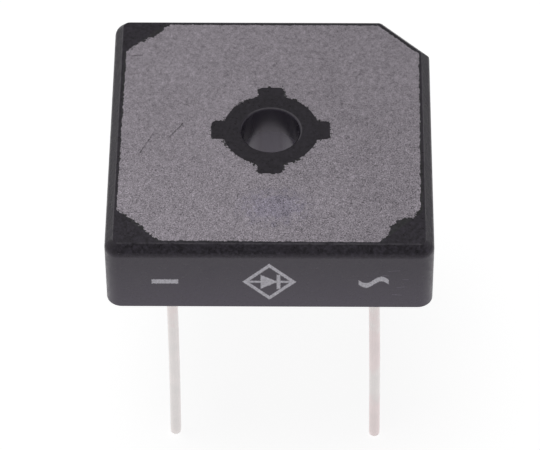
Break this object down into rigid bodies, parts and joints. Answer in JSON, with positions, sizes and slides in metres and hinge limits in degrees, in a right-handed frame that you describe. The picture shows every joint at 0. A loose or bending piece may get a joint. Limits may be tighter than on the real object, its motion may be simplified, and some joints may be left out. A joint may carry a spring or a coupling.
{
  "type": "bridge rectifier",
  "caption": "Square moulded single-phase bridge rectifier with a flush heat spreader, a central screw hole, one cut corner and straight wire leads.",
  "frame": {"origin": "on the axis of the screw hole, at the underside of the case, where the leads come out", "axes": "+Z along the hole axis towards the heat spreader's face; the corner that marks the positive lead is towards +X and +Y; the side that carries the print on such parts faces -Y"},
  "size_m": [0.0286, 0.0286, 0.0314],
  "materials": {
    "moulding": "matte black epoxy moulding",
    "spreader_metal": "dull grey, fine-grained metal",
    "copper": "bare copper sheet",
    "silicon": "polished silicon",
    "solder": "dull solder",
    "tinned_wire": "matte tin on copper wire"
  },
  "bodies": {
    "root": {"case": "moulding", "heat_spreader": "spreader_metal", "positive_plate": "copper", "negative_plate": "copper", "ac_strap_left": "copper", "ac_strap_right": "copper", "diode_back": "silicon", "diode_right": "silicon", "diode_left": "silicon", "diode_front": "silicon", "solder_back_top": "solder", "solder_right_top": "solder", "solder_left_top": "solder", "solder_front_top": "solder", "solder_back_bottom": "solder", "solder_right_bottom": "solder", "solder_left_bottom": "solder", "solder_front_bottom": "solder", "lead_positive": "tinned_wire", "lead_negative": "tinned_wire", "lead_ac_left": "tinned_wire", "lead_ac_right": "tinned_wire", "lead_solder_positive": "solder", "lead_solder_negative": "solder", "lead_solder_ac_left": "solder", "lead_solder_ac_right": "solder"}
  },
  "joints": []
}
